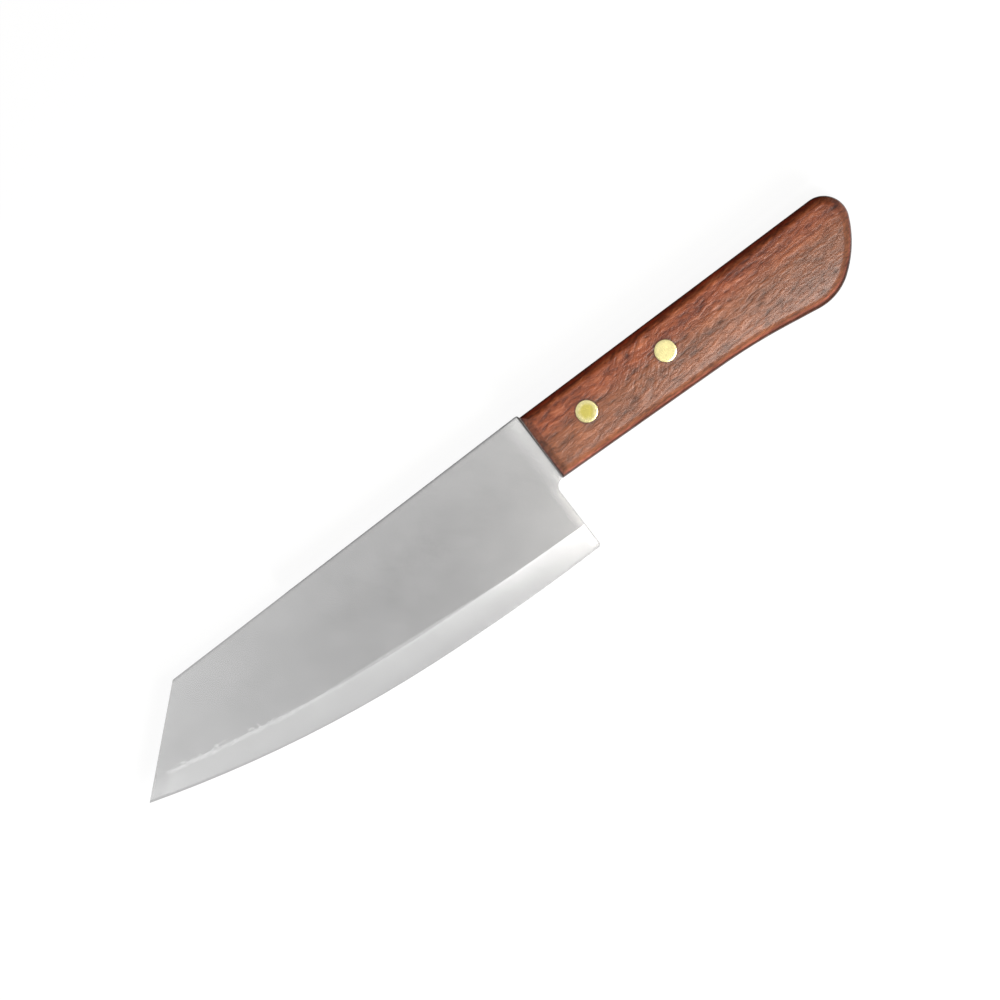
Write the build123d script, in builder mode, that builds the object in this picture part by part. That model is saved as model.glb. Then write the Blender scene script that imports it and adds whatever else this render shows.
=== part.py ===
from build123d import *
import os

os.makedirs("parts", exist_ok=True)

# A kitchen knife with a deba outline: a stamped, ground blade riveted into a kerfed wooden handle.
# It lies on its right side. Lengths are in millimetres. X runs from the tip to the butt, Y from the
# cutting edge to the spine, and Z out of the left side. The origin is on the surface that the knife
# lies on, under the middle of its length and depth.

# Blade seen from the side, measured from the top of the handle's front and down from the spine
blade_length = 165.5
blade_depth = 48.5
clip_length = 29.3
tip_drop = 26.3
heel_setback = 3.8
heel_radius = 1.3
neck_radius = 3.1
clip_corner_radius = 0.8
spine_end_radius = 0.9

# Where the belly's gentle curve gives way to the rounder one, as shares of the blade's length and depth
belly_bend_shares = (0.4135, 0.9437)

# Blade in section
blade_thickness = 1.7
tang_thickness = 1.8
blank_easing = 0.25
polish_gap = 0.6
heel_grind_width = 8.5
bend_grind_width = 9.6
tip_grind_width = 7.2
hone_width = 0.75
hone_thickness = 0.55
edge_thickness = 0.12

# Tang
tang_length = 71.0
tang_recess = 0.15
tang_corner_radius = 2.0

# Handle seen from the side: its heights are measured down from its own top edge
handle_length = 121.3
handle_front_height = 23.3
handle_waist_height = 25.45
handle_toe_height = 29.9
spine_step = 1.05
top_fall = 1.35
front_lean = 0.45
waist_easing = 12.2
butt_radius = 35.9
butt_toe_radius = 17.8
butt_top_radius = 8.0

# Corners of the handle's outline before they are rounded, as shares of its length
waist_share = 0.597
butt_toe_share = 0.837
butt_top_share = 1.0185

# Handle in section
handle_thickness = 16.0
bevel_width = 2.2
bevel_depth = 2.0
bevel_cheek_radius = 1.5
bevel_side_radius = 2.5

# Kerf that holds the tang, left by a round saw
kerf_clearance = 0.05
kerf_end_gap = 0.8
saw_radius = 90.0

# Rivets, each a hollow barrel from the left and a solid post from the right
rivet_setbacks = (18.0, 49.1)
rivet_depth = 12.3
rivet_head_diameter = 7.0
rivet_head_height = 1.8
barrel_diameter = 4.8
post_diameter = 3.2
rivet_clearance = 0.03
tang_hole_clearance = 0.1
rivet_end_gap = 0.4

# How far a cutter runs past the surface that it cuts
overrun = 1.0


# Side view: points are (x, y), with x behind the top of the handle's front and y above the spine


def point_along(start, end, x):
    """Returns the point with the given x on the straight line through two points."""
    return (x, start[1] + (end[1] - start[1]) * (x - start[0]) / (end[0] - start[0]))


def point_below_top(share, height):
    """Returns the point a height below the handle's top edge, at a share of the handle's length."""
    return (share * handle_length, -spine_step - share * top_fall - height)


def point_towards(start, end, distance):
    """Returns the point at a distance from one point, on the way to another."""
    return Vector(*start) + (Vector(*end) - Vector(*start)).normalized() * distance


tip = (-blade_length, -tip_drop)
clip_corner = (clip_length - blade_length, 0)
heel = (-heel_setback, -blade_depth)
belly_bend = (-belly_bend_shares[0] * blade_length, -belly_bend_shares[1] * blade_depth)

handle_front_top = (0, -spine_step)
handle_front_low = (-front_lean, -spine_step - handle_front_height)
waist = point_below_top(waist_share, handle_waist_height)
butt_toe = point_below_top(butt_toe_share, handle_toe_height)
butt_top = point_below_top(butt_top_share, 0)

tang_front_top = (0, -spine_step - tang_recess)
tang_rear_top = (tang_length, point_along(handle_front_top, butt_top, tang_length)[1] - tang_recess)
tang_rear_low = (tang_length, point_along(handle_front_low, waist, tang_length)[1] + tang_recess)
neck = (-heel_setback, point_along(handle_front_low, waist, -heel_setback)[1] + tang_recess)


def round_corner(sketch, point, radius):
    """Rounds the corner of a sketch that lies nearest a point."""
    fillet(sketch.vertices().sort_by_distance(point)[0], radius)


with BuildSketch() as blade_outline:
    with BuildLine():
        gentle_belly = TangentArc(heel, belly_bend, tangent=Vector(-1, 0))
        TangentArc(gentle_belly @ 1, tip, tangent=gentle_belly % 1)
        Polyline(tip, clip_corner, (0, 0), tang_front_top, tang_rear_top, tang_rear_low, neck, heel)
    make_face()
    round_corner(blade_outline, clip_corner, clip_corner_radius)
    round_corner(blade_outline, (0, 0), spine_end_radius)
    round_corner(blade_outline, tang_rear_top, tang_corner_radius)
    round_corner(blade_outline, tang_rear_low, tang_corner_radius)
    round_corner(blade_outline, neck, neck_radius)
    round_corner(blade_outline, heel, heel_radius)

# The waist is eased by an arc that starts and ends at the same distance from its corner
with BuildSketch() as handle_outline:
    with BuildLine():
        Polyline(butt_top, handle_front_top, handle_front_low)
        front_run = Line(handle_front_low, point_towards(waist, handle_front_low, waist_easing))
        waist_run = TangentArc(
            front_run @ 1, point_towards(waist, butt_toe, waist_easing), tangent=front_run % 1
        )
        Line(waist_run @ 1, butt_toe)
        RadiusArc(butt_toe, butt_top, -butt_radius)
    make_face()
    round_corner(handle_outline, butt_top, butt_top_radius)
    round_corner(handle_outline, butt_toe, butt_toe_radius)


# The knife's middle plane, with its zero at the spine above the handle's front. Both pieces are alike
# on their two sides, so each is modelled from this plane up and mirrored.

blade_box = blade_outline.sketch.bounding_box()
handle_box = handle_outline.sketch.bounding_box()
cheek_height = handle_thickness / 2
side_plane = Plane(
    (
        -(blade_box.min.X + handle_box.max.X) / 2,
        -(blade_box.min.Y + blade_box.max.Y) / 2,
        cheek_height,
    )
)


# Blade


def grind_corners(width):
    """Returns the corners of what grinding takes off a face: x out of the face, y up from the edge."""
    edge = edge_thickness / 2
    hone = hone_thickness / 2
    face = blade_thickness / 2
    rise = (width - hone_width) / (face - hone)
    return [
        (edge, -overrun),
        (edge, 0),
        (hone, hone_width),
        (face + overrun, width + overrun * rise),
        (face + overrun, -overrun),
    ]


with BuildLine(side_plane) as grind_path:
    heel_run = Line((overrun - heel_setback, -blade_depth), heel)
    heel_belly = TangentArc(heel_run @ 1, side_plane.from_local_coords(belly_bend), tangent=heel_run % 1)
    tip_belly = TangentArc(heel_belly @ 1, side_plane.from_local_coords(tip), tangent=heel_belly % 1)
    tip_run = Line(tip_belly @ 1, tip_belly @ 1 + (tip_belly % 1) * overrun)

# The bevel is widest at the belly's bend: each station is a point, a direction and a width
grind_stations = (
    (heel_run @ 0, heel_run % 0, heel_grind_width),
    (heel_belly @ 1, heel_belly % 1, bend_grind_width),
    (tip_run @ 1, tip_run % 1, tip_grind_width),
)

with BuildPart() as blade:
    with BuildSketch(side_plane):
        add(blade_outline.sketch)
    extrude(amount=tang_thickness / 2)
    fillet(blade.faces().sort_by(Axis.Z)[-1].edges(), blank_easing)

    # Ahead of the handle the face is ground down to gauge, so the tang stays a little thicker
    with BuildSketch(side_plane.offset(blade_thickness / 2)):
        with BuildLine():
            Polyline(
                (-polish_gap, overrun),
                (-polish_gap - front_lean, -blade_depth - overrun),
                (-blade_length - overrun, -blade_depth - overrun),
                (-blade_length - overrun, overrun),
                close=True,
            )
        make_face()
    extrude(amount=overrun, mode=Mode.SUBTRACT)

    # The ground bevel, with the narrow honed one at the edge
    sections = []
    for point, direction, width in grind_stations:
        station = Plane(point, x_dir=(0, 0, 1), z_dir=direction)
        with BuildSketch(station, mode=Mode.PRIVATE) as section:
            with BuildLine():
                Polyline(*grind_corners(width), close=True)
            make_face()
        sections.append(section.sketch)
    sweep(sections, path=grind_path.line, multisection=True, mode=Mode.SUBTRACT)

    for setback in rivet_setbacks:
        with Locations(side_plane.from_local_coords((setback, -rivet_depth))):
            Hole(barrel_diameter / 2 + tang_hole_clearance)
    mirror(about=side_plane)

blade.part.label = "blade"
export_step(blade.part, "parts/blade.step")


# Handle

kerf_low = -spine_step - top_fall - handle_toe_height
kerf_end = tang_length + kerf_end_gap

with BuildPart() as handle:
    with BuildSketch(side_plane):
        add(handle_outline.sketch)
    extrude(amount=cheek_height)
    cheek = handle.faces().sort_by(Axis.Z)[-1]
    chamfer(cheek.edges(), bevel_width, bevel_depth, reference=cheek)

    # Sanding rounds both rims of the bevel, except across the front, where it stays crisp
    side_rim = handle.edges().group_by(Axis.Z)[-3]
    fillet(side_rim.sort_by(Axis.X)[1:], bevel_side_radius)
    cheek_rim = handle.edges().group_by(Axis.Z)[-1]
    fillet(cheek_rim.sort_by(Axis.X)[1:], bevel_cheek_radius)

    # The kerf is open at the front, top and bottom, and the round saw leaves its end curved
    with BuildSketch(side_plane):
        with BuildLine():
            Polyline(
                (kerf_end, kerf_low),
                (-front_lean - overrun, kerf_low),
                (-front_lean - overrun, overrun),
                (kerf_end, overrun),
            )
            RadiusArc((kerf_end, overrun), (kerf_end, kerf_low), saw_radius)
        make_face()
    extrude(amount=tang_thickness / 2 + kerf_clearance, mode=Mode.SUBTRACT)

    for setback in rivet_setbacks:
        with Locations(side_plane.from_local_coords((setback, -rivet_depth, cheek_height))):
            CounterBoreHole(
                barrel_diameter / 2 + rivet_clearance,
                rivet_head_diameter / 2 + rivet_clearance,
                rivet_head_height,
            )
    mirror(about=side_plane)

handle.part.label = "handle"
export_step(handle.part, "parts/handle.step")


# Rivets, turned about their own axes: x is the radius and y the height above the middle plane

head_radius = rivet_head_diameter / 2
barrel_radius = barrel_diameter / 2
post_radius = post_diameter / 2
bore_radius = post_radius + rivet_clearance
seat_height = cheek_height - rivet_head_height
shank_height = seat_height - rivet_end_gap

for place, setback in zip(("front", "rear"), rivet_setbacks):
    centre = side_plane.from_local_coords((setback, -rivet_depth))
    rivet_plane = Plane(centre, x_dir=(1, 0, 0), z_dir=(0, -1, 0))

    with BuildPart() as barrel:
        with BuildSketch(rivet_plane):
            with BuildLine():
                Polyline(
                    (0, cheek_height),
                    (head_radius, cheek_height),
                    (head_radius, seat_height),
                    (barrel_radius, seat_height),
                    (barrel_radius, -shank_height),
                    (bore_radius, -shank_height),
                    (bore_radius, seat_height),
                    (0, seat_height),
                    close=True,
                )
            make_face()
        revolve(axis=Axis(centre, (0, 0, 1)))

    with BuildPart() as post:
        with BuildSketch(rivet_plane):
            with BuildLine():
                Polyline(
                    (0, -cheek_height),
                    (head_radius, -cheek_height),
                    (head_radius, -seat_height),
                    (post_radius, -seat_height),
                    (post_radius, shank_height),
                    (0, shank_height),
                    close=True,
                )
            make_face()
        revolve(axis=Axis(centre, (0, 0, 1)))

    barrel.part.label = f"{place}_rivet_barrel"
    export_step(barrel.part, f"parts/{place}_rivet_barrel.step")
    post.part.label = f"{place}_rivet_post"
    export_step(post.part, f"parts/{place}_rivet_post.step")
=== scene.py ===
"""A kitchen knife with a deba outline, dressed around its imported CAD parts.

The knife lies on its right side. Lengths are metres, in the CAD's own frame: X from the tip to the
butt, Y from the cutting edge to the spine, and Z out of the left side. The finishes measure in
millimetres from the spine at the handle's front, and most pairs of lengths in them say where a soft
step starts and ends.
"""

import logging
import math
from collections.abc import Callable
from dataclasses import dataclass, field
from enum import Enum

import bpy
from bpy.types import Material, Node, NodeSocket, Object, World
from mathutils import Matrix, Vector


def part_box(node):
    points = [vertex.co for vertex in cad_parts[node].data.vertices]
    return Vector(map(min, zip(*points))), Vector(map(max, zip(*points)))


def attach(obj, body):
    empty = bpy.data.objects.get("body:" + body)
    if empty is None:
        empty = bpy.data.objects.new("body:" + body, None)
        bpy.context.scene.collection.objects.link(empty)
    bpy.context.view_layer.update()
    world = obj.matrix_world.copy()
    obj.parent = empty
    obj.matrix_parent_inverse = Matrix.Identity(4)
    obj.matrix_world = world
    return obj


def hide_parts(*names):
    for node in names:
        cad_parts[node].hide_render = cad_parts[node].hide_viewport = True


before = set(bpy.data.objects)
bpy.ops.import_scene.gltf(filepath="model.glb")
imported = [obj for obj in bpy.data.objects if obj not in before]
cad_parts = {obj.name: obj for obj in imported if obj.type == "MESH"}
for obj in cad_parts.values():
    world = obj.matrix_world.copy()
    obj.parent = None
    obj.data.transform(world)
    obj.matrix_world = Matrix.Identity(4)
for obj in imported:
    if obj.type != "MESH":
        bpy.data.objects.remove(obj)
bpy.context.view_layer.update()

log = logging.getLogger("knife")

MM = 0.001
# The least that a face's normal points along an axis if the face counts as facing that way
FACING = 0.9

Point = tuple[float, float]
Place = Colour = Grain = tuple[float, float, float]
# The rivets, in millimetres from the spine at the handle's front
RIVETS: tuple[Point, ...] = ((18.0, -12.3), (49.1, -12.3))


# Numbers that vary over a surface


class Field:
    """A number that varies over a surface: a shader socket that takes arithmetic."""

    def __init__(self, shader: "Shader", socket: NodeSocket) -> None:
        """Wraps the output of one of the shader's nodes."""
        self.shader = shader
        self.socket = socket

    def __add__(self, other: "Field | float") -> "Field":
        """Returns the sum."""
        return self.shader.math("ADD", self, other)

    def __sub__(self, other: "Field | float") -> "Field":
        """Returns the difference."""
        return self.shader.math("SUBTRACT", self, other)

    def __rsub__(self, other: float) -> "Field":
        """Returns a plain number less this one."""
        return self.shader.math("SUBTRACT", other, self)

    def __mul__(self, other: "Field | float") -> "Field":
        """Returns the product."""
        return self.shader.math("MULTIPLY", self, other)

    def __truediv__(self, other: "Field | float") -> "Field":
        """Returns the quotient."""
        return self.shader.math("DIVIDE", self, other)

    __radd__ = __add__
    __rmul__ = __mul__

    def step(self, low: float, high: float) -> "Field":
        """Returns a smooth step.

        Args:
            low: Where the step is 0.
            high: Where the step is 1. It may be less than low.

        Returns:
            A number from 0 to 1.
        """
        settings = {"interpolation_type": "SMOOTHSTEP"}
        sockets = {"Value": self, "From Min": low, "From Max": high}
        if high < low:
            sockets = {"Value": self, "From Min": high, "From Max": low, "To Min": 1.0, "To Max": 0.0}
        return Field(self.shader, self.shader.node("ShaderNodeMapRange", settings, sockets).outputs[0])

    def bump(self, centre: float, width: float) -> "Field":
        """Returns a soft ridge that is 1 at its centre and falls to 0 a width to each side."""
        return self.shader.math("ABSOLUTE", self - centre, 0.0).step(width, 0.0)


class Shader:
    """The node tree of a material or of the world."""

    def __init__(self, owner: Material | World) -> None:
        """Empties the node tree.

        Args:
            owner: The new material or world that the tree belongs to.
        """
        self.owner = owner
        owner.use_nodes = True
        self.tree = owner.node_tree
        self.tree.nodes.clear()

    def node(self, kind: str, settings: dict | None = None, sockets: dict | None = None) -> Node:
        """Adds any node.

        Args:
            kind: The node's type.
            settings: Its own settings, such as a Math node's operation, which are set first.
            sockets: A value, a socket or a Field for each of its inputs, by name or place.

        Returns:
            The node.
        """
        made = self.tree.nodes.new(kind)
        for name, value in (settings or {}).items():
            setattr(made, name, value)
        for name, value in (sockets or {}).items():
            source = value.socket if isinstance(value, Field) else value
            if isinstance(source, NodeSocket):
                self.tree.links.new(source, made.inputs[name])
            else:
                made.inputs[name].default_value = source
        return made

    def math(self, operation: str, first: "Field | float", second: "Field | float") -> Field:
        """Returns the result of a Math node."""
        made = self.node("ShaderNodeMath", {"operation": operation}, {0: first, 1: second})
        return Field(self, made.outputs[0])

    def vector(self, operation: str, first: object, second: object) -> Node:
        """Returns a Vector Math node."""
        return self.node("ShaderNodeVectorMath", {"operation": operation}, {0: first, 1: second})

    def place(self, origin: Vector, turn: float = 0.0) -> NodeSocket:
        """Gives places on the piece in millimetres.

        Args:
            origin: The zero of those places, in the frame.
            turn: How far the pattern is turned about the height, in radians.

        Returns:
            The socket that carries them.
        """
        point = self.node("ShaderNodeTexCoord").outputs["Object"]
        local = self.vector("SUBTRACT", point, tuple(origin)).outputs[0]
        turned = self.node(
            "ShaderNodeMapping",
            {"vector_type": "POINT"},
            {"Vector": local, "Rotation": (0.0, 0.0, turn), "Scale": (1 / MM, 1 / MM, 1 / MM)},
        )
        return turned.outputs[0]

    def axes(self, place: NodeSocket) -> tuple[Field, Field, Field]:
        """Returns the X, Y and Z of places."""
        parts = self.node("ShaderNodeSeparateXYZ", {}, {0: place})
        return tuple(Field(self, socket) for socket in parts.outputs)

    def distance(self, place: NodeSocket, point: Place) -> Field:
        """Returns how far places lie from a point."""
        return Field(self, self.vector("DISTANCE", place, point).outputs["Value"])

    def side_distance(self, place: NodeSocket, point: Point) -> Field:
        """Returns how far places lie from a point in the side view, whatever their height."""
        level = self.vector("MULTIPLY", place, (1.0, 1.0, 0.0)).outputs[0]
        return self.distance(level, (*point, 0.0))

    def noise(self, place: object, grain: Grain, detail: float = 2.0, rough: float = 0.5) -> Field:
        """Gives noise about 0.5.

        Args:
            place: Places in millimetres.
            grain: The size of the noise's lumps each way, in millimetres.
            detail: How many finer layers it has.
            rough: How strong these are.

        Returns:
            The noise.
        """
        scaled = self.vector("DIVIDE", place, grain).outputs[0]
        sockets = {"Vector": scaled, "Scale": 1.0, "Detail": detail, "Roughness": rough}
        made = self.node("ShaderNodeTexNoise", {"noise_dimensions": "3D"}, sockets)
        return Field(self, made.outputs[0])

    def mix(self, factor: Field, first: Colour | NodeSocket, second: Colour) -> NodeSocket:
        """Lays a colour over another.

        Args:
            factor: How much of the second colour shows, from 0 to 1.
            first: The colour below.
            second: The colour on top.

        Returns:
            The socket that carries the mix.
        """
        below = (*first, 1.0) if isinstance(first, tuple) else first
        sockets = {"Factor": factor, 6: below, 7: (*second, 1.0)}
        return self.node("ShaderNodeMix", {"data_type": "RGBA"}, sockets).outputs[2]

    def shade(self, colour: NodeSocket, amount: Field) -> NodeSocket:
        """Returns a colour times a number."""
        sockets = {0: colour, "Scale": amount}
        return self.node("ShaderNodeVectorMath", {"operation": "SCALE"}, sockets).outputs[0]

    def relief(self, height: Field) -> NodeSocket:
        """Returns the normal of a surface with a fine relief, whose height is in millimetres."""
        return self.node("ShaderNodeBump", {}, {"Distance": MM, "Height": height}).outputs[0]

    def finish(self, sockets: dict) -> Material:
        """Ends the material with a Principled BSDF.

        Args:
            sockets: What the shader's inputs hold.

        Returns:
            The material.
        """
        surface = self.node("ShaderNodeBsdfPrincipled", {}, sockets)
        self.node("ShaderNodeOutputMaterial", {}, {"Surface": surface.outputs[0]})
        return self.owner

    def rays(self, *kinds: str) -> Field:
        """Tells some kinds of rays from the others.

        Args:
            kinds: The kinds, under Blender's names for them.

        Returns:
            1 on rays of those kinds and 0 on the others.
        """
        tests = self.node("ShaderNodeLightPath").outputs
        first, *others = (Field(self, tests[f"Is {kind} Ray"]) for kind in kinds)
        for other in others:
            first = self.math("MAXIMUM", first, other)
        return first

    def either(self, factor: Field, first: Node, second: Node) -> Node:
        """Returns a mix of two shaders, which is all the second where the factor is 1."""
        sockets = {0: factor, 1: first.outputs[0], 2: second.outputs[0]}
        return self.node("ShaderNodeMixShader", {}, sockets)


# Finishes


@dataclass(frozen=True)
class BladeSteel:
    """Satin stainless steel: brushed flats, a brighter ground bevel and a dulled honed edge."""

    origin: Vector
    heel_centre: Point = (-3.8, 717.837)
    heel_radius: float = 766.337
    tip_centre: Point = (-31.576, 389.688)
    tip_radius: float = 437.015
    bend: float = -68.43
    tip: Point = (-165.5, -26.3)
    clip: Point = (29.3, 26.3)
    clip_band: Point = (2.5, 6.5)
    bevel_width: float = 9.6
    bevel_narrowing: float = 2.61e-4
    hone_width: float = 0.75
    bevel_hollow: float = 0.08
    tip_stretch: Point = (-75.0, -150.0)
    fleck_stretch: Point = (-95.0, -125.0)
    tip_light_stretch: Point = (-35.0, -110.0)
    heel_stretch: Point = (-32.0, -12.0)
    heel_shade_end: Point = (-4.5, -4.1)
    handle_light_stretch: Point = (-8.0, -0.8)
    seam_shade: Point = (-0.75, -0.35)
    spine_light_band: Point = (-19.0, -2.0)
    scratch_slant: float = math.radians(-28.0)
    scratch_grain: Grain = (0.35, 5.0, 5.0)
    mottle_grain: Grain = (1.6, 5.0, 3.0)
    grind_grain: Grain = (0.30, 9.0, 9.0)
    cloud_grain: Grain = (14.0, 9.0, 9.0)
    wander_grain: Grain = (5.0, 3.0, 50.0)
    smear_grain: Grain = (3.0, 1.2, 2.0)
    fleck_grain: Grain = (1.6, 0.9, 1.6)
    flat_colour: Colour = (0.515, 0.515, 0.515)
    bevel_colour: Colour = (0.60, 0.60, 0.60)
    hone_colour: Colour = (0.58, 0.58, 0.58)
    burnish_and_light_colour: Colour = (0.72, 0.72, 0.72)
    seam_shade_colour: Colour = (0.05, 0.04, 0.035)

    def make(self) -> Material:
        """Makes the finish.

        Returns:
            The material.
        """
        shader = Shader(bpy.data.materials.new("satin_steel"))
        place = shader.place(self.origin)
        along, across, _ = shader.axes(place)
        edge = self.from_edge(shader, place, along)
        clear = self.from_clip(along, across).step(*self.clip_band)

        # The line where the bevel was ground wanders more and more towards the tip
        towards_tip = along.step(*self.tip_stretch)
        wander = shader.noise(place, self.wander_grain, 3.0, 0.6) - 0.5
        past_bend = along - self.bend
        bevel_width = self.bevel_width - past_bend * past_bend * self.bevel_narrowing
        ridge = edge - bevel_width + wander * (0.2 + towards_tip * 1.6)
        on_bevel = ridge.step(0.10, -0.12)
        on_hone = edge.step(self.hone_width + 0.05, self.hone_width - 0.1)

        # Brushing across the flat, grinding across the bevel, and broad uneven patches
        scratch_place = shader.place(self.origin, self.scratch_slant)
        scratches = shader.noise(scratch_place, self.scratch_grain) - 0.5
        mottle = shader.noise(scratch_place, self.mottle_grain) - 0.5
        grind = shader.noise(place, self.grind_grain) - 0.5
        clouds = shader.noise(place, self.cloud_grain, 3.0) - 0.5

        # Bright smears and flecks that the wheel left along the ridge
        smears = shader.noise(place, self.smear_grain, 2.0, 0.6).step(0.36, 0.60) * 0.65 + 0.35
        burnish = ridge.bump(-0.55, 1.25) * towards_tip * smears * 0.85 + ridge.bump(-0.4, 0.9) * 0.15
        specks = shader.noise(place, self.fleck_grain, 2.0, 0.6).step(0.52, 0.66)
        near_ridge = ridge.step(2.4, 0.2) * ridge.step(-1.4, -0.6)
        flecks = specks * near_ridge * along.step(*self.fleck_stretch) * clear

        colour = shader.mix(on_bevel * (0.35 + clear * 0.65), self.flat_colour, self.bevel_colour)
        colour = shader.mix(burnish * clear, colour, self.burnish_and_light_colour)
        colour = shader.mix(flecks * 0.8, colour, self.burnish_and_light_colour)
        # Painted highlight: a brighter band on the flat just ahead of the handle, in the burnish colour
        colour = shader.mix(along.step(*self.handle_light_stretch) * 0.7, colour, self.burnish_and_light_colour)
        colour = shader.mix(on_hone, colour, self.hone_colour)
        # Painted shade: a dark line on the tang where it meets the handle's front
        colour = shader.mix(along.step(*self.seam_shade) * 0.9, colour, self.seam_shade_colour)
        # Painted light: the flat is made lighter towards the spine
        painted_spine_light = across.step(*self.spine_light_band)
        # Painted shade: a darker line on the bevel along the heel's rear edge
        painted_heel_shade = along.step(*self.heel_shade_end) * on_bevel
        # Painted light: the blade is made lighter towards the tip
        painted_tip_light = along.step(*self.tip_light_stretch)
        broad = clouds * 0.06 + painted_spine_light * 0.09 + painted_tip_light * 0.05 - painted_heel_shade * 0.3
        level = 1.0 + scratches * 0.03 + mottle * 0.03 + grind * on_bevel * 0.05 + broad

        # The bevel is a little hollow, as a round wheel leaves it, and flatter near the heel
        down_bevel = edge / bevel_width * 2.0 - 1.0
        flatter = 1.0 - along.step(*self.heel_stretch) * 0.5
        hollow = (down_bevel * down_bevel - 1.0) * on_bevel * flatter * self.bevel_hollow
        lines = scratches * (1.0 - on_bevel) + grind * on_bevel
        fine = lines * 0.0009 + mottle * 0.0015 + clouds * 0.006
        return shader.finish(
            {
                "Base Color": shader.shade(colour, level),
                "Metallic": 1.0,
                "Roughness": 0.23 + clouds * 0.03 + mottle * 0.02 - on_bevel * 0.02,
                "Normal": shader.relief(hollow + fine),
            }
        )

    def from_clip(self, along: Field, across: Field) -> Field:
        """Works out how far each point lies behind the straight clip at the tip.

        Args:
            along: The points' X in millimetres.
            across: Their Y.

        Returns:
            The distance in millimetres.
        """
        run, rise = self.clip
        length = math.hypot(run, rise)
        return (along - self.tip[0]) * (rise / length) - (across - self.tip[1]) * (run / length)

    def from_edge(self, shader: Shader, place: NodeSocket, along: Field) -> Field:
        """Works out how far each point lies from the cutting edge.

        Args:
            shader: The shader.
            place: Places in millimetres.
            along: Their X.

        Returns:
            The distance in millimetres.
        """
        by_heel = self.heel_radius - shader.side_distance(place, self.heel_centre)
        by_tip = self.tip_radius - shader.side_distance(place, self.tip_centre)
        past = shader.math("LESS_THAN", along, self.bend)
        return by_heel + (by_tip - by_heel) * past


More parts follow.
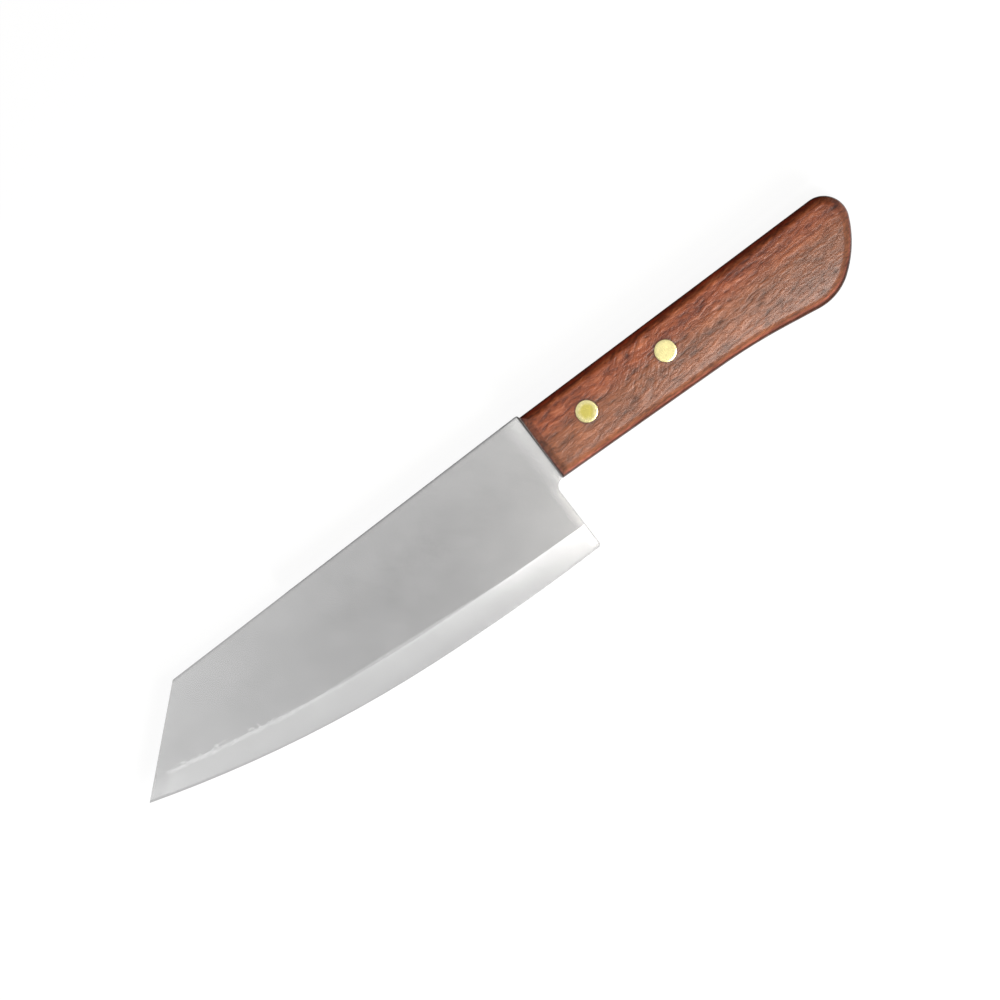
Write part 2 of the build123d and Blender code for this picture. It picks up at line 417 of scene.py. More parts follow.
@dataclass(frozen=True)
class HandleWood:
    """Red-brown hardwood with fine dark pores, sanded a little uneven under a thin varnish."""

    origin: Vector
    rivet_radius: float = 3.5
    rivet_ring: Point = (0.75, 0.35)
    top_fall: float = 0.011
    cheek: Point = (6.2, 7.0)
    painted_edge_shade: Point = (4.85, 1.25)
    sheen_tint_band: Point = (-7.0, -15.0)
    top_shade_band: Point = (-3.0, -1.6)
    lit_low_rim: Point = (-10.0, -18.0)
    low_outline_side: Point = (-14.0, -19.0)
    low_outline_edge: Point = (6.5, 5.9)
    front_end: Point = (2.9, 1.9)
    butt_edge_shade: Point = (96.0, 112.0)
    butt_rim: Point = (7.2, 6.4)
    butt_end: Point = (104.0, 114.0)
    rear: Point = (60.0, 105.0)
    slant: float = math.radians(-2.5)
    curl_place: Place = (42.0, -9.0, 8.0)
    curl_reach: Point = (17.0, 6.0)
    curl_slant: float = math.radians(-38.0)
    drift_grain: Grain = (22.0, 9.0, 14.0)
    sway_grain: Grain = (7.0, 5.0, 6.0)
    band_grain: Grain = (60.0, 3.0, 4.0)
    streak_grain: Grain = (6.0, 1.45, 1.5)
    fibre_grain: Grain = (2.5, 0.95, 1.1)
    pore_grain: Grain = (3.0, 0.5, 0.5)
    ripple_grain: Grain = (4.0, 1.1, 3.0)
    lump_grain: Grain = (5.0, 2.2, 2.2)
    swell_grain: Grain = (16.0, 7.0, 8.0)
    deep: Colour = (0.185, 0.035, 0.011)
    mid: Colour = (0.255, 0.060, 0.020)
    pale: Colour = (0.305, 0.095, 0.042)
    sheen_tint_brown: Colour = (0.232, 0.080, 0.032)
    top_shade_red: Colour = (0.300, 0.024, 0.003)
    painted_rim_sheen: Colour = (0.345, 0.105, 0.072)
    pore: Colour = (0.060, 0.016, 0.006)

    def make(self) -> Material:
        """Makes the finish.

        Returns:
            The material.
        """
        shader = Shader(bpy.data.materials.new("varnished_wood"))
        straight = shader.place(self.origin, self.slant)
        drift = shader.noise(straight, self.drift_grain) - 0.5
        sway = shader.noise(straight, self.sway_grain) - 0.5
        swayed = shader.node("ShaderNodeCombineXYZ", {}, {1: drift * 3.2 + sway * 1.6, 2: drift * 2.0})
        place = shader.vector("ADD", straight, swayed.outputs[0]).outputs[0]
        level_place = shader.place(self.origin)
        along, across, height = shader.axes(level_place)
        half = shader.math("ABSOLUTE", height, 0.0)
        below_top = across + along * self.top_fall

        # The grain, from broad bands to pores, and the curl between the rivets
        bands = shader.noise(place, self.band_grain, 3.0, 0.55)
        streaks = shader.noise(place, self.streak_grain)
        fibres = shader.noise(place, self.fibre_grain, 2.0, 0.6)
        pores = shader.noise(place, self.pore_grain, 1.0).step(0.62, 0.72)
        ripple_place = shader.place(self.origin, self.curl_slant)
        ripple = shader.noise(ripple_place, self.ripple_grain, 2.0, 0.55)
        curled = shader.distance(level_place, self.curl_place).step(*self.curl_reach)
        lumps = shader.noise(place, self.lump_grain, 1.0)
        swell = shader.noise(straight, self.swell_grain)

        # The wood's own colour, then painted light and shade: a browner lower cheek for the sheen's tint,
        # a deep red top rim for its shade, a paler low rim for its sheen, and painted shade along the
        # edges
        flat_cheek = half.step(*self.cheek)
        # Painted sheen tint: the flat cheek turns browner towards its lower edge
        sheen_tint_part = below_top.step(*self.sheen_tint_band) * flat_cheek
        # Painted sheen: the low rim is made paler and lighter
        lit_low_rim = (1.0 - flat_cheek) * below_top.step(*self.lit_low_rim)
        # Painted shade: a dark line along the low outline
        painted_low_outline = half.step(*self.low_outline_edge) * below_top.step(*self.low_outline_side)
        # Painted shade: a dark line along the rims' edges, darker at the butt
        painted_edge_shade = half.bump(*self.painted_edge_shade) * (0.65 + along.step(*self.butt_edge_shade) * 0.2)
        tone = bands * 0.45 + streaks * 0.30 + fibres * 0.25
        colour = shader.mix(tone.step(0.38, 0.52), self.deep, self.mid)
        colour = shader.mix(tone.step(0.50, 0.62) * 0.8, colour, self.pale)
        colour = shader.mix(sheen_tint_part * 0.8, colour, self.sheen_tint_brown)
        # Painted shade: the deep red that the unlit top rim shows
        colour = shader.mix(below_top.step(*self.top_shade_band) * 0.8, colour, self.top_shade_red)
        colour = shader.mix(lit_low_rim * 0.8, colour, self.painted_rim_sheen)
        for dark in (pores * 0.4, painted_low_outline * 0.9, painted_edge_shade, self.round_rivets(shader) * 0.6):
            colour = shader.mix(dark, colour, self.pore)

        # The front end and the butt rim are darker: real end grain, and painted shade too
        butt = half.step(*self.butt_rim) * along.step(*self.butt_end)
        end_grain_and_shade = along.step(*self.front_end) * 0.28 + butt * 0.12
        fine = (fibres - 0.5) * 1.5 + (streaks - 0.5) * 1.25 + (ripple - 0.5) * curled * 1.1
        broad = (bands - 0.5) * 1.2 + (swell - 0.5) * 0.9
        # Painted shade: the handle is made darker towards the butt
        level = (1.0 + fine + broad) * (1.0 - end_grain_and_shade) * (1.0 - along.step(*self.rear) * 0.17)
        sanding = lumps * 0.115 + swell * 0.14
        relief = sanding + fibres * 0.130 + streaks * 0.140 - pores * 0.020 + ripple * curled * 0.21
        return shader.finish(
            {
                "Base Color": shader.shade(colour, level),
                "Roughness": 0.35 - (fibres - 0.5) * 0.15 - (streaks - 0.5) * 0.15 + pores * 0.20,
                "Coat Weight": 0.12,
                "Coat Roughness": 0.20,
                "Normal": shader.relief(relief),
            }
        )

    def round_rivets(self, shader: Shader) -> Field:
        """Marks the thin dark ring of wood round each rivet.

        Args:
            shader: The shader.

        Returns:
            1 in the rings and 0 elsewhere.
        """
        place = shader.place(self.origin)
        outer, inner = (self.rivet_radius + reach for reach in self.rivet_ring)
        front, rear = (shader.side_distance(place, rivet).step(outer, inner) for rivet in RIVETS)
        return shader.math("MAXIMUM", front, rear)


@dataclass(frozen=True)
class RivetBrass:
    """Yellow brass, sanded flush with the wood and left satin, with a tarnished front head."""

    origin: Vector
    tarnish_reach: Point = (3.0, 1.6)
    scratch_grain: Grain = (4.0, 0.09, 1.0)
    cloud_grain: Grain = (1.8, 1.8, 2.2)
    clean: Colour = (0.88, 0.79, 0.38)
    tarnished: Colour = (0.74, 0.64, 0.16)

    def make(self) -> Material:
        """Makes the finish.

        Returns:
            The material.
        """
        shader = Shader(bpy.data.materials.new("sanded_brass"))
        place = shader.place(self.origin)
        scratches = shader.noise(place, self.scratch_grain, 2.0, 0.6) - 0.5
        clouds = shader.noise(place, self.cloud_grain, 3.0, 0.6)
        reach = shader.side_distance(place, RIVETS[0]) + (clouds - 0.5) * 2.0
        colour = shader.mix(reach.step(*self.tarnish_reach), self.clean, self.tarnished)
        level = 1.0 + scratches * 0.10 + (clouds - 0.5) * 0.15
        return shader.finish(
            {
                "Base Color": shader.shade(colour, level),
                "Metallic": 1.0,
                "Roughness": 0.17 + scratches * 0.08,
                "Normal": shader.relief(scratches * 0.004 + clouds * 0.010),
            }
        )


# Modelling by hand


def switch(mode: str) -> None:
    """Switches Blender to a mode, by Blender's name for it."""
    bpy.ops.object.mode_set(mode=mode)


def deselect_objects() -> None:
    """Leaves no object selected."""
    if bpy.context.mode != "OBJECT":
        switch("OBJECT")
    bpy.ops.object.select_all(action="DESELECT")


def pick(piece: Object) -> None:
    """Leaves one object selected and active, in object mode.

    Args:
        piece: The object.
    """
    deselect_objects()
    bpy.context.view_layer.objects.active = piece
    piece.select_set(True)


def begin(name: str) -> None:
    """Takes the piece that was just added into edit mode, with all of it selected.

    Args:
        name: The piece's name.
    """
    piece = bpy.context.object
    piece.name = name
    piece.data.name = name
    switch("EDIT")
    bpy.ops.mesh.select_all(action="SELECT")


def add_cylinder(name: str, radius: float, height: float, centre: Vector, sides: int) -> None:
    """Adds an upright cylinder and takes it into edit mode.

    Args:
        name: The piece's name.
        radius: Its radius.
        height: Its height.
        centre: Its middle.
        sides: How many sides it has.
    """
    deselect_objects()
    bpy.ops.mesh.primitive_cylinder_add(
        vertices=sides, radius=radius, depth=height, location=centre
    )
    bpy.ops.object.transform_apply(location=True, rotation=True, scale=True)
    begin(name)


def extrude_up(height: float) -> None:
    """Extrudes the selected faces straight up, or down where the height is negative."""
    bpy.ops.mesh.extrude_region_move(TRANSFORM_OT_translate={"value": (0.0, 0.0, height)})


def face_outwards() -> None:
    """Points all faces of the piece in edit mode outwards."""
    bpy.ops.mesh.select_all(action="SELECT")
    bpy.ops.mesh.normals_make_consistent(inside=False)


class Part(Enum):
    """What a selection picks in edit mode."""

    VERT = "vertices"
    FACE = "polygons"


def select(part: Part, wanted: Callable[[object], bool]) -> None:
    """Selects vertices or faces of the piece in edit mode.

    Args:
        part: What is picked.
        wanted: Says of a vertex or face whether it is picked.
    """
    bpy.ops.mesh.select_mode(type=part.name)
    bpy.ops.mesh.select_all(action="DESELECT")
    switch("OBJECT")
    for element in getattr(bpy.context.object.data, part.value):
        if wanted(element):
            element.select = True
    switch("EDIT")


def slice_across(normal: Place, places: list[Vector]) -> None:
    """Cuts extra edges across the whole piece in edit mode, without opening it.

    Args:
        normal: Which way the slicing planes face.
        places: A point on each plane.
    """
    bpy.ops.mesh.reveal(select=False)
    for place in places:
        bpy.ops.mesh.select_all(action="SELECT")
        bpy.ops.mesh.bisect(plane_co=place, plane_no=normal)


class Falloff(Enum):
    """The section of a dished band, under Blender's names."""

    BUFFED = "SHARP"
    CROWNED = "INVERSE_SQUARE"


def dish(
    chosen: Callable[[Vector], bool],
    kept: Callable[[Vector], bool],
    move: float,
    width: float,
    falloff: Falloff,
) -> None:
    """Moves vertices up or down with a soft falloff around them.

    Args:
        chosen: Says of a place whether a vertex there moves all the way.
        kept: Says of a place whether a vertex stays there.
        move: How far the chosen ones move, upwards if positive.
        width: How far from them the falloff ends.
        falloff: The falloff's shape.
    """
    select(Part.VERT, lambda vertex: kept(vertex.co))
    bpy.ops.mesh.hide(unselected=False)
    select(Part.VERT, lambda vertex: chosen(vertex.co) and not kept(vertex.co))
    bpy.ops.transform.translate(
        value=(0.0, 0.0, move),
        use_proportional_edit=True,
        proportional_edit_falloff=falloff.value,
        proportional_size=width,
    )
    bpy.ops.mesh.reveal(select=False)


class Pen:
    """Draws an outline at one height, by drawing a vertex out along runs and round arcs."""

    join_gap: float = 0.05 * MM

    def __init__(self, name: str, start: Vector, heading: float) -> None:
        """Starts an outline.

        Args:
            name: The piece's name.
            start: Where the outline starts.
            heading: Which way it sets off, in radians from +X.
        """
        self.point = Vector(start)
        self.heading = heading
        deselect_objects()
        bpy.ops.mesh.primitive_plane_add(size=MM, location=(0.0, 0.0, 0.0))
        begin(name)
        bpy.ops.mesh.merge(type="CENTER")
        bpy.ops.transform.translate(value=self.point)

    def edge(self, step: Vector) -> None:
        """Draws one edge, a step further."""
        bpy.ops.mesh.extrude_vertices_move(TRANSFORM_OT_translate={"value": step})
        self.point += step

    def run(self, length: float) -> None:
        """Draws a straight run of a length."""
        self.edge(Vector((math.cos(self.heading), math.sin(self.heading), 0.0)) * length)

    def arc(self, radius: float, turn: float, steps: int) -> None:
        """Draws an arc.

        Args:
            radius: Its radius.
            turn: How far it turns, in radians, with a positive turn to the left.
            steps: How many edges it has.
        """
        side = math.copysign(1.0, turn)
        across = Vector((-math.sin(self.heading), math.cos(self.heading), 0.0)) * side
        centre = self.point + across * radius
        cos, sin = math.cos(turn / steps), math.sin(turn / steps)
        for _ in range(steps):
            spoke = self.point - centre
            turned = Vector((spoke.x * cos - spoke.y * sin, spoke.x * sin + spoke.y * cos, 0.0))
            self.edge(centre + turned - self.point)
        self.heading += turn

    def close(self) -> Object:
        """Joins the outline up and fills it.

        Returns:
            The piece, in edit mode, with its face selected.
        """
        bpy.ops.mesh.select_all(action="SELECT")
        bpy.ops.mesh.remove_doubles(threshold=self.join_gap)
        bpy.ops.mesh.edge_face_add()
        bpy.ops.mesh.select_mode(type="FACE")
        return bpy.context.object


def apply_modifier(piece: Object, kind: str, settings: dict) -> None:
    """Adds a modifier to the active piece and applies it.

    Args:
        piece: The piece.
        kind: The modifier's type.
        settings: Its settings, by name.
    """
    bpy.ops.object.modifier_add(type=kind)
    modifier = piece.modifiers[-1]
    for name, value in settings.items():
        setattr(modifier, name, value)
    bpy.ops.object.modifier_apply(modifier=modifier.name)


def cut(piece: Object, cutter: Object) -> None:
    """Takes a cutter's shape out of a piece and removes the cutter.

    Args:
        piece: The piece.
        cutter: A closed shape.
    """
    pick(piece)
    settings = {"operation": "DIFFERENCE", "solver": "EXACT", "object": cutter}
    apply_modifier(piece, "BOOLEAN", settings)
    bpy.data.objects.remove(cutter)


class Slot(Enum):
    """Names for the record's material slots, which no piece here is given."""

    STEEL = "blade_steel"
    WOOD = "handle_wood"
    BRASS = "rivet_brass"


def hand_over(piece: Object, material: Material, node: str, sharp_angle: float) -> None:
    """Finishes a piece: smooth shading, its material, its body and its CAD node.

    Args:
        piece: The piece.
        material: Its finish.
        node: The CAD node that it stands for.
        sharp_angle: The angle past which an edge stays sharp.
    """
    pick(piece)
    bpy.ops.object.shade_smooth_by_angle(angle=sharp_angle)
    piece.data.materials.clear()
    piece.data.materials.append(material)
    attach(piece, "root")
    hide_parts(node)
    log.info("%s: %d faces, stands for %s", piece.name, len(piece.data.polygons), node)


# The knife's pieces


@dataclass
class Blade:
    """The stamped and ground blade with its tang, from a joined-up copy of the CAD blade."""

    steel: Material
    origin: Vector
    join_gap: float = 0.001 * MM
    flat_angle: float = math.radians(0.3)
    half_flat: float = 0.85 * MM
    blank_easing: float = 0.25 * MM
    ground_end: float = -0.6 * MM
    heel_back: float = -3.8 * MM
    neck_centre: Point = (-0.7 * MM, -27.29 * MM)
    neck_radius: float = 3.1 * MM
    neck_top: float = -24.2 * MM
    hollow_top: float = 8.3 * MM
    heel_depth: float = 48.5 * MM
    buff_drop: float = 0.045 * MM
    buff_width: float = 3.0 * MM
    buff_slice: float = 0.45 * MM
    buff_rise: float = 1.5 * MM
    spine_drop: float = 0.10 * MM
    spine_width: float = 0.95 * MM
    spine_slice: float = 0.2 * MM
    spine_slices: int = 3
    kept_share: float = 1 / 3
    near: float = 0.03 * MM
    sharp_angle: float = math.radians(2.5)

    def build(self) -> None:
        """Builds and dresses the blade."""
        piece = bpy.data.objects.new("satin_blade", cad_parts["blade"].data.copy())
        bpy.context.scene.collection.objects.link(piece)
        pick(piece)
        bpy.ops.mesh.customdata_custom_splitnormals_clear()
        begin("satin_blade")
        bpy.ops.mesh.remove_doubles(threshold=self.join_gap)
        bpy.ops.mesh.select_all(action="SELECT")
        bpy.ops.mesh.mark_sharp(clear=True)
        bpy.ops.mesh.dissolve_limited(angle_limit=self.flat_angle)
        self.slice_rear()
        for side in (1, -1):
            self.buff(side)
        hand_over(piece, self.steel, "blade", self.sharp_angle)

    def slice_rear(self) -> None:
        """Cuts the edges that the buffed bands bend along."""
        reach = self.heel_back - self.blank_easing - self.buff_width - self.ground_end
        steps = round(-reach / self.buff_slice)
        start = self.origin.x + self.ground_end
        across = [start + reach * (step + 0.5) / steps for step in range(steps)]
        slice_across((1.0, 0.0, 0.0), [Vector((x, 0.0, 0.0)) for x in across])
        rows = round(self.heel_depth / self.buff_rise)
        along = [self.origin.y - self.buff_rise * (row + 0.5) for row in range(rows)]
        ring = self.origin.y - self.blank_easing
        along += [ring - self.spine_slice * (step + 1) for step in range(self.spine_slices)]
        slice_across((0.0, 1.0, 0.0), [Vector((0.0, y, 0.0)) for y in along])

    def buff(self, side: int) -> None:
        """Rounds one face over along its heel, its neck, its spine and the line ahead of the handle.

        Args:
            side: 1 for the left face, -1 for the right.
        """

        def stays(place: Vector) -> bool:
            """Says whether a point stays where it is.

            Args:
                place: The point.

            Returns:
                Whether it is on the tang, on the other face or in the middle of an edge.
            """
            x = place.x - self.origin.x
            height = (place.z - self.origin.z) * side
            on_tang = x > self.ground_end + self.near
            on_step = x > self.ground_end - self.near and height > self.half_flat + self.near
            return on_tang or on_step or height < self.half_flat * self.kept_share

        ring = self.origin.y - self.blank_easing - self.near
        bands = (
            (lambda place: self.on_rear(place, side), self.buff_drop, self.buff_width),
            (lambda place: place.y > ring, self.spine_drop, self.spine_width),
        )
        for chosen, drop, width in bands:
            dish(chosen, stays, -side * drop, width, Falloff.BUFFED)

    def on_rear(self, place: Vector, side: int) -> bool:
        """Says whether a point of one face is on its border at the handle, neck or heel.

        Args:
            place: The point.
            side: 1 for the left face, -1 for the right.

        Returns:
            Whether it is.
        """
        x = place.x - self.origin.x
        y = place.y - self.origin.y
        height = (place.z - self.origin.z) * side
        if height < self.half_flat - self.near and y > self.hollow_top - self.heel_depth:
            return False
        if y > self.neck_top:
            return abs(x - self.ground_end) < self.near
        neck_x, neck_y = self.neck_centre
        if y > neck_y:
            reach = math.hypot(x - neck_x, y - neck_y)
            return x < neck_x and abs(reach - self.neck_radius - self.blank_easing) < self.near
        return abs(x - self.heel_back + self.blank_easing) < self.near


@dataclass
class Handle:
    """The one-piece wooden handle: crowned cheeks with sanded rims, and a kerf for the tang."""

    wood: Material
    spine_front: Vector
    middle: float
    front_low: Point = (-0.45 * MM, -24.35 * MM)
    underside_fall: float = math.radians(2.323)
    # Each run's length, or each arc's radius, turn in degrees and number of edges
    outline: tuple[tuple[float, float, int], ...] = (
        (60.726 * MM, 0.0, 1),
        (199.76 * MM, -6.990, 10),
        (11.276 * MM, 0.0, 1),
        (17.8 * MM, 45.339, 14),
        (35.9 * MM, 29.834, 10),
        (8.0 * MM, 113.502, 26),
        (113.374 * MM, 0.0, 1),
    )
    half_thickness: float = 8.0 * MM
    crown: float = 0.9 * MM
    crown_width: float = 16.0 * MM
    head_room: float = 0.02 * MM
    grain_slice: float = 1.9 * MM
    grain_slices: int = 7
    length_slice: float = 3.0 * MM
    length_slices: int = 41
    middle_depth: float = 13.0 * MM
    middle_fall: float = 0.021
    bevel_width: float = 2.2 * MM
    bevel_depth: float = 2.0 * MM
    side_rim_radius: float = 2.5 * MM
    side_rim_steps: int = 6
    cheek_rim_radius: float = 2.2 * MM
    cheek_rim_steps: int = 5
    kerf_width: float = 1.9 * MM
    kerf_length: float = 71.8 * MM
    kerf_overrun: float = 8.0 * MM
    saw_radius: float = 90.0 * MM
    saw_steps: int = 10
    shank_radius: float = 2.43 * MM
    hole_sides: int = 72
    rivet_gap: float = 0.06 * MM
    overrun: float = 1.0 * MM
    near: float = 0.01 * MM
    merge_gap: float = 0.005 * MM
    sharp_angle: float = math.radians(32.0)

    def build(self) -> None:
        """Builds and dresses the handle."""
        piece = self.half()
        settings = {"use_axis": (False, False, True), "merge_threshold": self.merge_gap}
        apply_modifier(piece, "MIRROR", settings)
        switch("EDIT")
        face_outwards()
        cut(piece, self.kerf())
        for along, across in RIVETS:
            cut(piece, self.rivet_hole(self.at((along * MM, across * MM))))

        # Up to the knife's middle plane
        pick(piece)
        switch("EDIT")
        bpy.ops.mesh.select_all(action="SELECT")
        bpy.ops.transform.translate(value=(0.0, 0.0, self.middle))
        hand_over(piece, self.wood, "handle", self.sharp_angle)

    def at(self, point: Point) -> Vector:
        """Returns a point of the side view, at the height that the handle is modelled at."""
        return Vector((self.spine_front.x + point[0], self.spine_front.y + point[1], 0.0))

    def half(self) -> Object:
        """Models the left half, from the middle plane up to the cheek.

        Returns:
            The piece, in object mode.
        """
        pen = Pen("wood_handle", self.at(self.front_low), -self.underside_fall)
        for size, turn, steps in self.outline:
            if turn:
                pen.arc(size, math.radians(turn), steps)
            else:
                pen.run(size)
        piece = pen.close()
        rings = self.rim_profile()
        wall_top = rings[0][1]
        extrude_up(wall_top)
        face_outwards()
        select(Part.FACE, lambda face: face.normal.z > FACING)
        for (outer, low), (inner, high) in zip(rings, rings[1:]):
            bpy.ops.mesh.inset(thickness=inner - outer, depth=high - low, use_even_offset=True)
        select(Part.FACE, lambda face: face.normal.z < -FACING)
        bpy.ops.mesh.delete(type="FACE")
        self.crown_cheek(wall_top)
        switch("OBJECT")
        return piece

    def crown_cheek(self, wall_top: float) -> None:
        """Crowns the flat cheek and its rims across the handle's whole height.

        Args:
            wall_top: The height of the side wall's top, below which nothing moves.
        """
        columns = [self.length_slice * (column + 0.5) for column in range(self.length_slices)]
        across = [self.at((column, 0.0)) for column in columns]
        slice_across((1.0, 0.0, 0.0), across)
        middle_line = self.at((0.0, -self.middle_depth))
        rows = range(-self.grain_slices, self.grain_slices + 1)
        along = [middle_line + Vector((0.0, self.grain_slice * row, 0.0)) for row in rows]
        slice_across((self.middle_fall, 1.0, 0.0), along)

        def in_middle(place: Vector) -> bool:
            """Says whether a point is on the cheek's middle line."""
            fall = (place.x - middle_line.x) * self.middle_fall
            return abs(place.y - middle_line.y + fall) < self.near

        low = wall_top - self.near
        dish(in_middle, lambda place: place.z < low, self.crown, self.crown_width, Falloff.CROWNED)

    def rim_profile(self) -> list[Point]:
        """Works out the section across a rim, from the side wall to the flat of the cheek.

        Returns:
            How far in from the outline and how high above the middle plane each ring lies.
        """
        slope = math.atan2(self.bevel_depth, self.bevel_width)
        rim_height = self.half_thickness - self.crown - self.head_room
        side_turn = math.pi / 2 - slope
        side_set = self.side_rim_radius * math.tan(side_turn / 2)
        cheek_set = self.cheek_rim_radius * math.tan(slope / 2)
        wall_top = rim_height - self.bevel_depth - side_set
        rings = []
        for step in range(self.side_rim_steps + 1):
            angle = side_turn * step / self.side_rim_steps
            inner = self.side_rim_radius * (1 - math.cos(angle))
            rings.append((inner, wall_top + self.side_rim_radius * math.sin(angle)))
        for step in range(self.cheek_rim_steps + 1):
            angle = slope * (1 - step / self.cheek_rim_steps)
            inner = self.bevel_width + cheek_set - self.cheek_rim_radius * math.sin(angle)
            rings.append((inner, rim_height - self.cheek_rim_radius * (1 - math.cos(angle))))
        return rings

    def kerf(self) -> Object:
        """Models the saw cut that holds the tang.

        Returns:
            The cutter.
        """
        front = self.front_low[0] - self.overrun
        low = self.front_low[1] - self.kerf_overrun
        height = self.overrun - low
        sag_turn = 2 * math.asin(height / 2 / self.saw_radius)
        pen = Pen("kerf_cutter", self.at((front, low)), 0.0)
        pen.run(self.kerf_length - front)
        pen.heading = math.pi / 2 - sag_turn / 2
        pen.arc(self.saw_radius, sag_turn, self.saw_steps)
        pen.heading = math.pi
        pen.run(self.kerf_length - front)
        piece = pen.close()
        bpy.ops.transform.translate(value=(0.0, 0.0, -self.kerf_width / 2))
        extrude_up(self.kerf_width)
        face_outwards()
        switch("OBJECT")
        return piece

    def rivet_hole(self, centre: Vector) -> Object:
        """Models the stepped hole of one rivet.

        Args:
            centre: Its middle.

        Returns:
            The cutter.
        """
        seat = self.half_thickness - Rivet.head_height
        add_cylinder("rivet_hole_cutter", self.shank_radius, 2 * seat, centre, self.hole_sides)
        widen = (Rivet.head_radius + self.rivet_gap) / self.shank_radius
        for side in (1, -1):
            select(Part.FACE, lambda face: face.normal.z * side > FACING)
            extrude_up(0.0)
            seat_centre = centre + Vector((0.0, 0.0, side * seat))
            bpy.ops.transform.resize(value=(widen, widen, 1.0), center_override=seat_centre)
            extrude_up(side * (Rivet.head_height + self.overrun))
        switch("OBJECT")
        return bpy.context.object


class RivetHalf(Enum):
    """The two halves of a rivet, with the side that each shows on."""

    BARREL = 1
    POST = -1


@dataclass
class Rivet:
    """One half of a two-piece rivet: a flush head with an eased rim on its shank."""

    brass: Material
    place: str
    half: RivetHalf
    head_radius: float = 3.5 * MM
    head_height: float = 1.8 * MM
    barrel_radius: float = 2.4 * MM
    post_radius: float = 1.6 * MM
    rim_ease: float = 0.35 * MM
    rim_drop: float = 0.035 * MM
    head_sides: int = 96
    near: float = 0.01 * MM
    sharp_angle: float = math.radians(35.0)

    def build(self) -> None:
        """Builds and dresses the half."""
        node = f"{self.place}_rivet_{self.half.name.lower()}"
        low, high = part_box(node)
        side = self.half.value
        face = high.z if side > 0 else low.z
        centre = (low + high) / 2
        centre.z = face - side * self.head_height / 2
        add_cylinder(f"brass_{node}", self.head_radius, self.head_height, centre, self.head_sides)

        # Two rings are inset in the head's face, and its rim drops a little
        select(Part.FACE, lambda face: face.normal.z * side > FACING)
        for _ in range(2):
            bpy.ops.mesh.inset(thickness=self.rim_ease, depth=0.0)
        rim = self.head_radius - self.rim_ease / 2

        def on_rim(vertex: object) -> bool:
            """Says whether a vertex is on the outer ring of the head's face."""
            reach = math.hypot(vertex.co.x - centre.x, vertex.co.y - centre.y)
            return abs(vertex.co.z - face) < self.near and reach > rim

        select(Part.VERT, on_rim)
        bpy.ops.transform.translate(value=(0.0, 0.0, -side * self.rim_drop))

        # The shank is drawn out of the head's back
        shank = self.barrel_radius if self.half is RivetHalf.BARREL else self.post_radius
        select(Part.FACE, lambda face: face.normal.z * side < -FACING)
        bpy.ops.mesh.inset(thickness=self.head_radius - shank, depth=0.0)
        extrude_up(-side * (high.z - low.z - self.head_height))
        hand_over(bpy.context.object, self.brass, node, self.sharp_angle)


# The studio

WHITE = (1.0, 1.0, 1.0)
WARM_WHITE = (1.0, 0.94, 0.85)
UPRIGHT = (math.pi / 2, 0.0, 0.0)


@dataclass(frozen=True)
class Softbox:
    """An area lamp: its place, size, power and colour, and whether it shows in shiny pieces.

    It points straight down, or at the frame's origin.
    """

    name: str
    place: Place
    size: tuple[float, float]
    power: float
    colour: Colour = WHITE
    straight_down: bool = True
    mirrored: bool = True

    def hang(self) -> None:
        """Adds the lamp."""
        aim = (*self.place[:2], 0.0) if self.straight_down else (0.0, 0.0, 0.0)
        turn = (Vector(aim) - Vector(self.place)).to_track_quat("-Z", "Y").to_euler()
        bpy.ops.object.light_add(type="AREA", location=self.place, rotation=turn)
        lamp = bpy.context.object
        lamp.name = self.name
        lamp.data.shape = "RECTANGLE"
        lamp.data.size, lamp.data.size_y = self.size
        lamp.data.energy = self.power
        lamp.data.color = self.colour
        lamp.visible_camera = False
        lamp.visible_glossy = self.mirrored


@dataclass(frozen=True)
class Card:
    """A dark card that the camera doesn't see, with its place, turn, size and grey."""

    name: str
    place: Place
    size: tuple[float, float]
    grey: float
    turn: Place = (0.0, 0.0, 0.0)

    def stand(self) -> None:
        """Adds the card."""
        deselect_objects()
        bpy.ops.mesh.primitive_plane_add(size=1.0, location=self.place, rotation=self.turn)
        card = bpy.context.object
        card.name = self.name
        card.scale = (*self.size, 1.0)
        card.visible_camera = False
        card.visible_shadow = False
        shader = Shader(bpy.data.materials.new("card_grey"))
        matt = shader.node("ShaderNodeBsdfDiffuse", {}, {"Color": (self.grey, self.grey, self.grey, 1.0)})
        shader.node("ShaderNodeOutputMaterial", {}, {"Surface": matt.outputs[0]})
        card.data.materials.append(shader.owner)


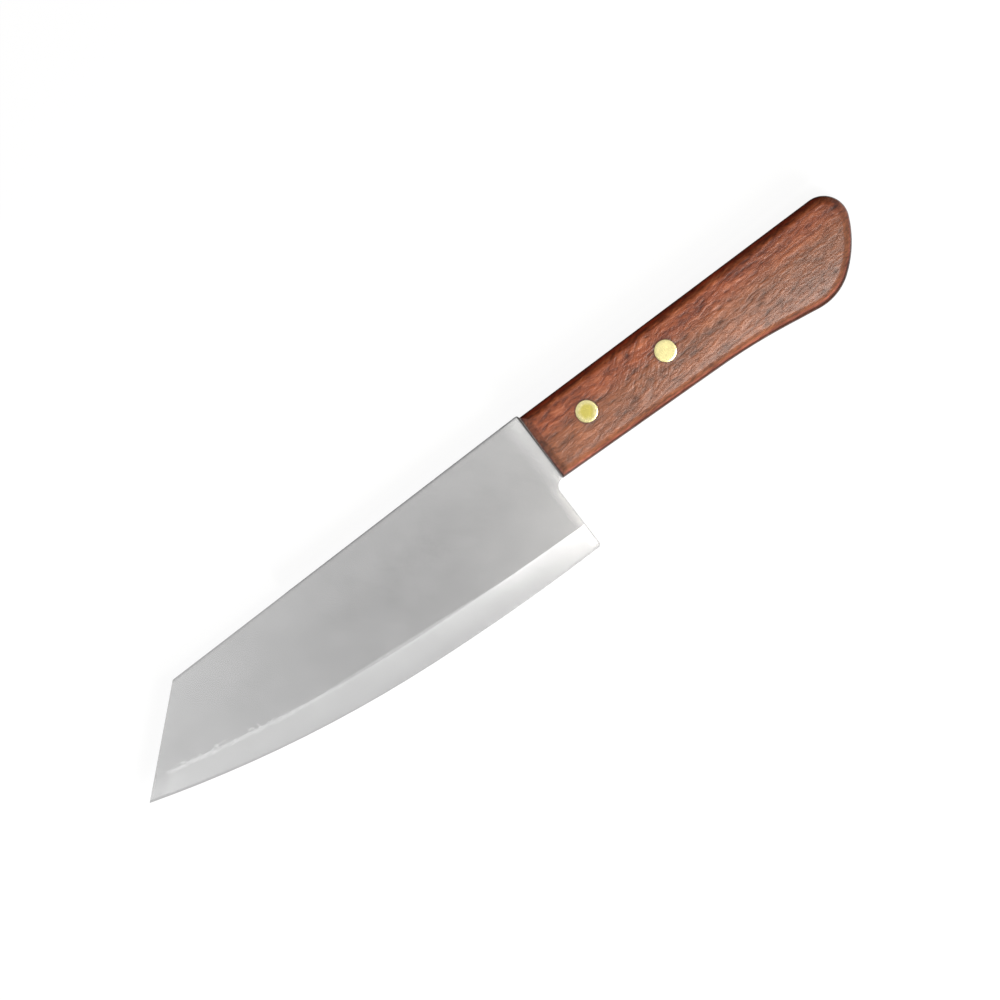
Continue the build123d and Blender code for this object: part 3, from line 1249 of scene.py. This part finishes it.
@dataclass
class Studio:
    """A pale floor, soft lamps from the butt's edge side, dark cards, and the camera straight above."""

    # The height of the knife's middle plane, on which the photograph's scale holds
    middle: float
    photo_width: float = 313.69 * MM
    photo_turn: float = math.radians(-37.51)
    photo_centre: Point = (1.69 * MM, 6.45 * MM)
    camera_height: float = 4.0
    sensor: float = 36.0
    view_depth: float = 100.0
    floor_size: float = 6.0
    floor_colour: float = 0.14
    floor_glow: float = 0.92
    world_level: float = 0.256
    mirrored_level: float = 0.8
    lamps: list[Softbox] = field(
        default_factory=lambda: [
            Softbox("key_softbox", (0.25, -1.0, 0.90), (0.65, 0.65), 14.0, WHITE, False, False),
            Softbox("sheen_softbox", (0.28, -0.36, 1.0), (0.5, 0.28), 2.4),
            Softbox("strip_softbox", (0.111, -0.070, 0.366), (0.083, 0.09), 0.23, WARM_WHITE),
            Softbox("rim_softbox", (0.111, -0.165, 0.366), (0.10, 0.06), 0.13, WARM_WHITE),
            Softbox("tip_softbox", (-0.38, 0.03, 1.0), (0.2, 0.4), 0.6),
        ]
    )
    cards: list[Card] = field(
        default_factory=lambda: [
            Card("spine_card", (0.24, 0.34, 0.5), (0.7, 1.0), 0.10, UPRIGHT),
            Card("spine_floor_card", (0.13, 0.18, 0.001), (0.4, 0.306), 0.04),
            Card("edge_floor_card", (0.17, -0.10, 0.001), (0.28, 0.16), 0.04),
            Card("overhead_card", (-0.045, 0.0, 0.7), (0.10, 0.04), 0.05),
        ]
    )

    def build(self) -> None:
        """Builds the studio."""
        self.floor()
        for card in self.cards:
            card.stand()
        self.world()
        deselect_objects()
        for lamp in self.lamps:
            lamp.hang()
        self.camera()

    def floor(self) -> None:
        """Lays the floor, which keeps the knife's shadow and looks white."""
        deselect_objects()
        bpy.ops.mesh.primitive_plane_add(size=self.floor_size, location=(0.0, 0.0, 0.0))
        floor = bpy.context.object
        floor.name = "floor"
        shader = Shader(bpy.data.materials.new("pale_floor"))
        grey = (self.floor_colour,) * 3
        matt = shader.node("ShaderNodeBsdfDiffuse", {}, {"Color": (*grey, 1.0)})
        glow = shader.node("ShaderNodeEmission", {}, {"Strength": self.floor_glow})
        both = shader.node("ShaderNodeAddShader", {}, {0: matt.outputs[0], 1: glow.outputs[0]})
        surface = shader.either(shader.rays("Camera", "Glossy", "Transmission"), matt, both)
        shader.node("ShaderNodeOutputMaterial", {}, {"Surface": surface.outputs[0]})
        floor.data.materials.append(shader.owner)

    def world(self) -> None:
        """Lights the room evenly, with a white surround."""
        shader = Shader(bpy.data.worlds.new("soft_room"))
        bpy.context.scene.world = shader.owner
        dim, mirrored, white = (
            shader.node("ShaderNodeBackground", {}, {"Color": (*WHITE, 1.0), "Strength": level})
            for level in (self.world_level, self.mirrored_level, 1.0)
        )
        room = shader.either(shader.rays("Glossy", "Transmission"), dim, mirrored)
        surface = shader.either(shader.rays("Camera"), room, white)
        shader.node("ShaderNodeOutputWorld", {}, {"Surface": surface.outputs[0]})

    def camera(self) -> None:
        """Hangs the camera straight above, turned as the photograph is."""
        place = (*self.photo_centre, self.middle + self.camera_height)
        bpy.ops.object.camera_add(location=place, rotation=(0.0, 0.0, self.photo_turn))
        camera = bpy.context.object
        camera.name = "camera"
        camera.data.sensor_width = self.sensor
        camera.data.lens = self.sensor * self.camera_height / self.photo_width
        camera.data.clip_end = self.view_depth
        bpy.context.scene.camera = camera
        bpy.context.scene.view_settings.view_transform = "Standard"


def main() -> None:
    """Builds the knife's pieces and the studio."""
    logging.basicConfig(level=logging.INFO, format="%(name)s: %(message)s")
    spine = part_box("blade")[1].y
    handle_low, handle_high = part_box("handle")
    middle = (handle_low.z + handle_high.z) / 2
    spine_front = Vector((handle_low.x - Handle.front_low[0], spine, middle))

    Blade(BladeSteel(spine_front).make(), spine_front).build()
    Handle(HandleWood(spine_front).make(), spine_front, middle).build()
    brass = RivetBrass(spine_front).make()
    for place in ("front", "rear"):
        for half in RivetHalf:
            Rivet(brass, place, half).build()
    Studio(middle).build()


if __name__ == "__main__":
    main()
